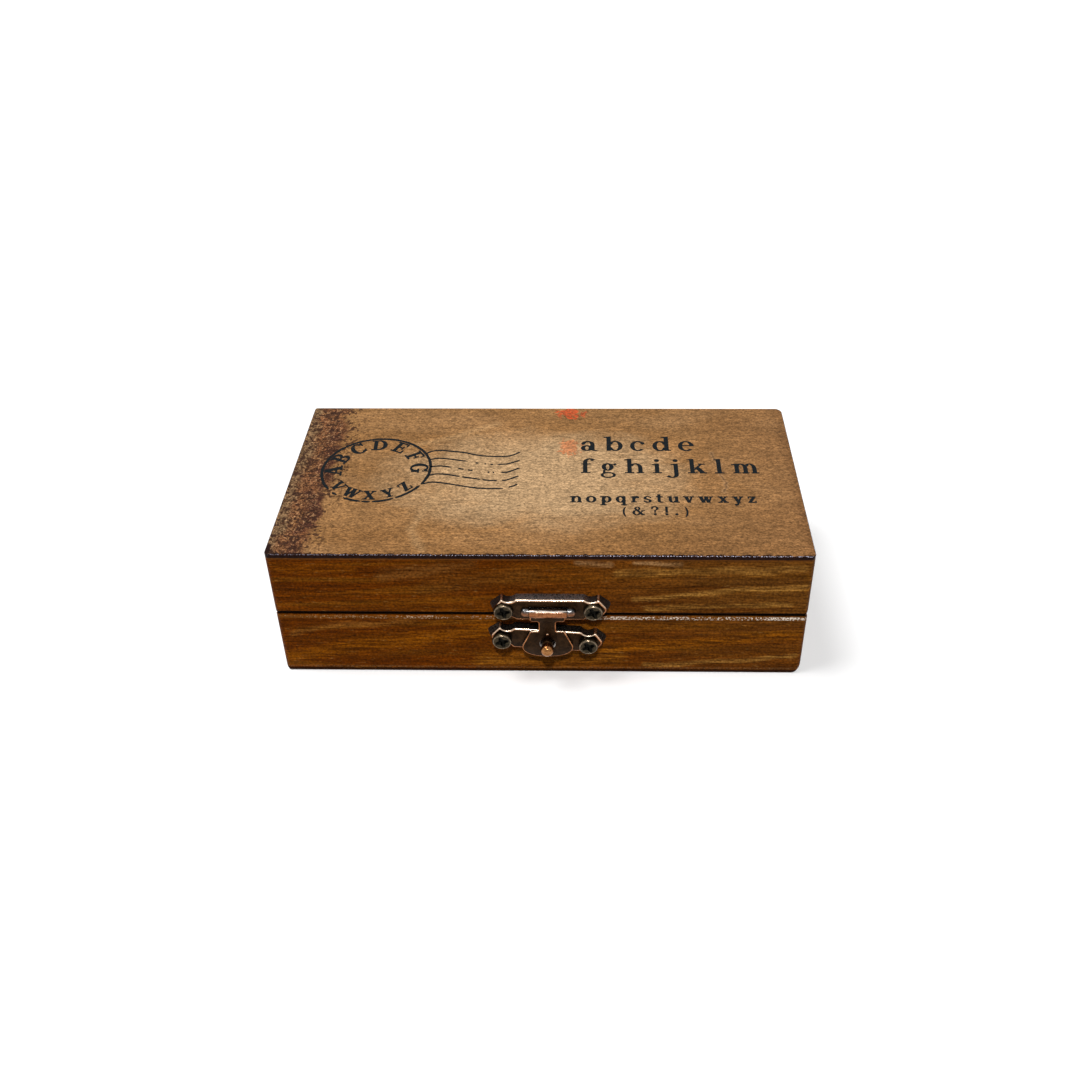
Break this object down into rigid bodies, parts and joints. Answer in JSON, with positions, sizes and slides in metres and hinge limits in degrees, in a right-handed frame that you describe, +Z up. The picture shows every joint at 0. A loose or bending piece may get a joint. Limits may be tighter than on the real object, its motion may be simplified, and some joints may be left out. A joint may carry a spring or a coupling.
{
  "type": "alphabet stamp box",
  "caption": "Small hinged wooden box with a pressed metal latch and printed lid, filled with rows of wooden letter stamps; the lid and the latch flap turn.",
  "frame": {"origin": "centre of the wooden box's underside, on the surface that it rests on", "axes": "+X along the box to the right, +Y from the latch towards the hinges, +Z up"},
  "size_m": [0.125, 0.0717, 0.0366],
  "materials": {
    "stained_wood": "orange-brown stain under a thin semi-gloss varnish, streaky lengthwise grain",
    "lid_panel": "light brown thin plywood, satin, with a dark edge, a printed design and an aged stain at the left",
    "bottom_panel": "thin plywood with the same stain, matt underneath",
    "latch_bronze": "antique bronze plating on pressed steel, dark faces and bright copper edges",
    "stud_copper": "worn copper on the ball",
    "hinge_bronze": "antique bronze plating",
    "screw_bronze": "dark antique bronze pan heads with a cross recess",
    "stamp_wood": "pale unfinished beech",
    "stamp_foam": "light grey foam",
    "stamp_rubber": "dark red stamp rubber"
  },
  "bodies": {
    "base": {"base_front_wall": "stained_wood", "base_back_wall": "stained_wood", "base_left_wall": "stained_wood", "base_right_wall": "stained_wood", "base_bottom_panel": "bottom_panel", "left_hinge_base_leaf": "hinge_bronze", "right_hinge_base_leaf": "hinge_bronze", "left_hinge_pin": "hinge_bronze", "right_hinge_pin": "hinge_bronze", "hinge_base_screws": "screw_bronze", "latch_lower_plate": "latch_bronze", "latch_lower_screws": "screw_bronze", "latch_stud": "stud_copper", "stamp_a": "stamp_wood", "stamp_b": "stamp_wood", "stamp_c": "stamp_wood", "stamp_d": "stamp_wood", "stamp_e": "stamp_wood", "stamp_f": "stamp_wood", "stamp_g": "stamp_wood", "stamp_h": "stamp_wood", "stamp_i": "stamp_wood", "stamp_j": "stamp_wood", "stamp_k": "stamp_wood", "stamp_l": "stamp_wood", "stamp_m": "stamp_wood", "stamp_n": "stamp_wood", "stamp_o": "stamp_wood", "stamp_p": "stamp_wood", "stamp_q": "stamp_wood", "stamp_r": "stamp_wood", "stamp_s": "stamp_wood", "stamp_t": "stamp_wood", "stamp_u": "stamp_wood", "stamp_v": "stamp_wood", "stamp_w": "stamp_wood", "stamp_x": "stamp_wood", "stamp_y": "stamp_wood", "stamp_z": "stamp_wood", "stamp_ampersand": "stamp_wood", "stamp_question_mark": "stamp_wood", "stamp_exclamation_mark": "stamp_wood", "stamp_full_stop": "stamp_wood", "stamp_cushions": "stamp_foam", "stamp_dies": "stamp_rubber"},
    "lid": {"lid_front_wall": "stained_wood", "lid_back_wall": "stained_wood", "lid_left_wall": "stained_wood", "lid_right_wall": "stained_wood", "lid_top_panel": "lid_panel", "left_hinge_lid_leaf": "hinge_bronze", "right_hinge_lid_leaf": "hinge_bronze", "hinge_lid_screws": "screw_bronze", "latch_upper_plate": "latch_bronze", "latch_upper_screws": "screw_bronze", "latch_flap_pin": "latch_bronze"},
    "latch_flap": {"latch_flap": "latch_bronze"}
  },
  "joints": [
    {"name": "lid_hinge", "type": "hinge", "parent": "base", "child": "lid", "pos_m": [0, 0.0323, 0.0188], "axis": [-1, 0, 0], "range_deg": [0, 180]},
    {"name": "latch_flap_hinge", "type": "hinge", "parent": "lid", "child": "latch_flap", "pos_m": [0.00195, -0.034, 0.02185], "axis": [-1, 0, 0], "range_deg": [0, 180]}
  ]
}
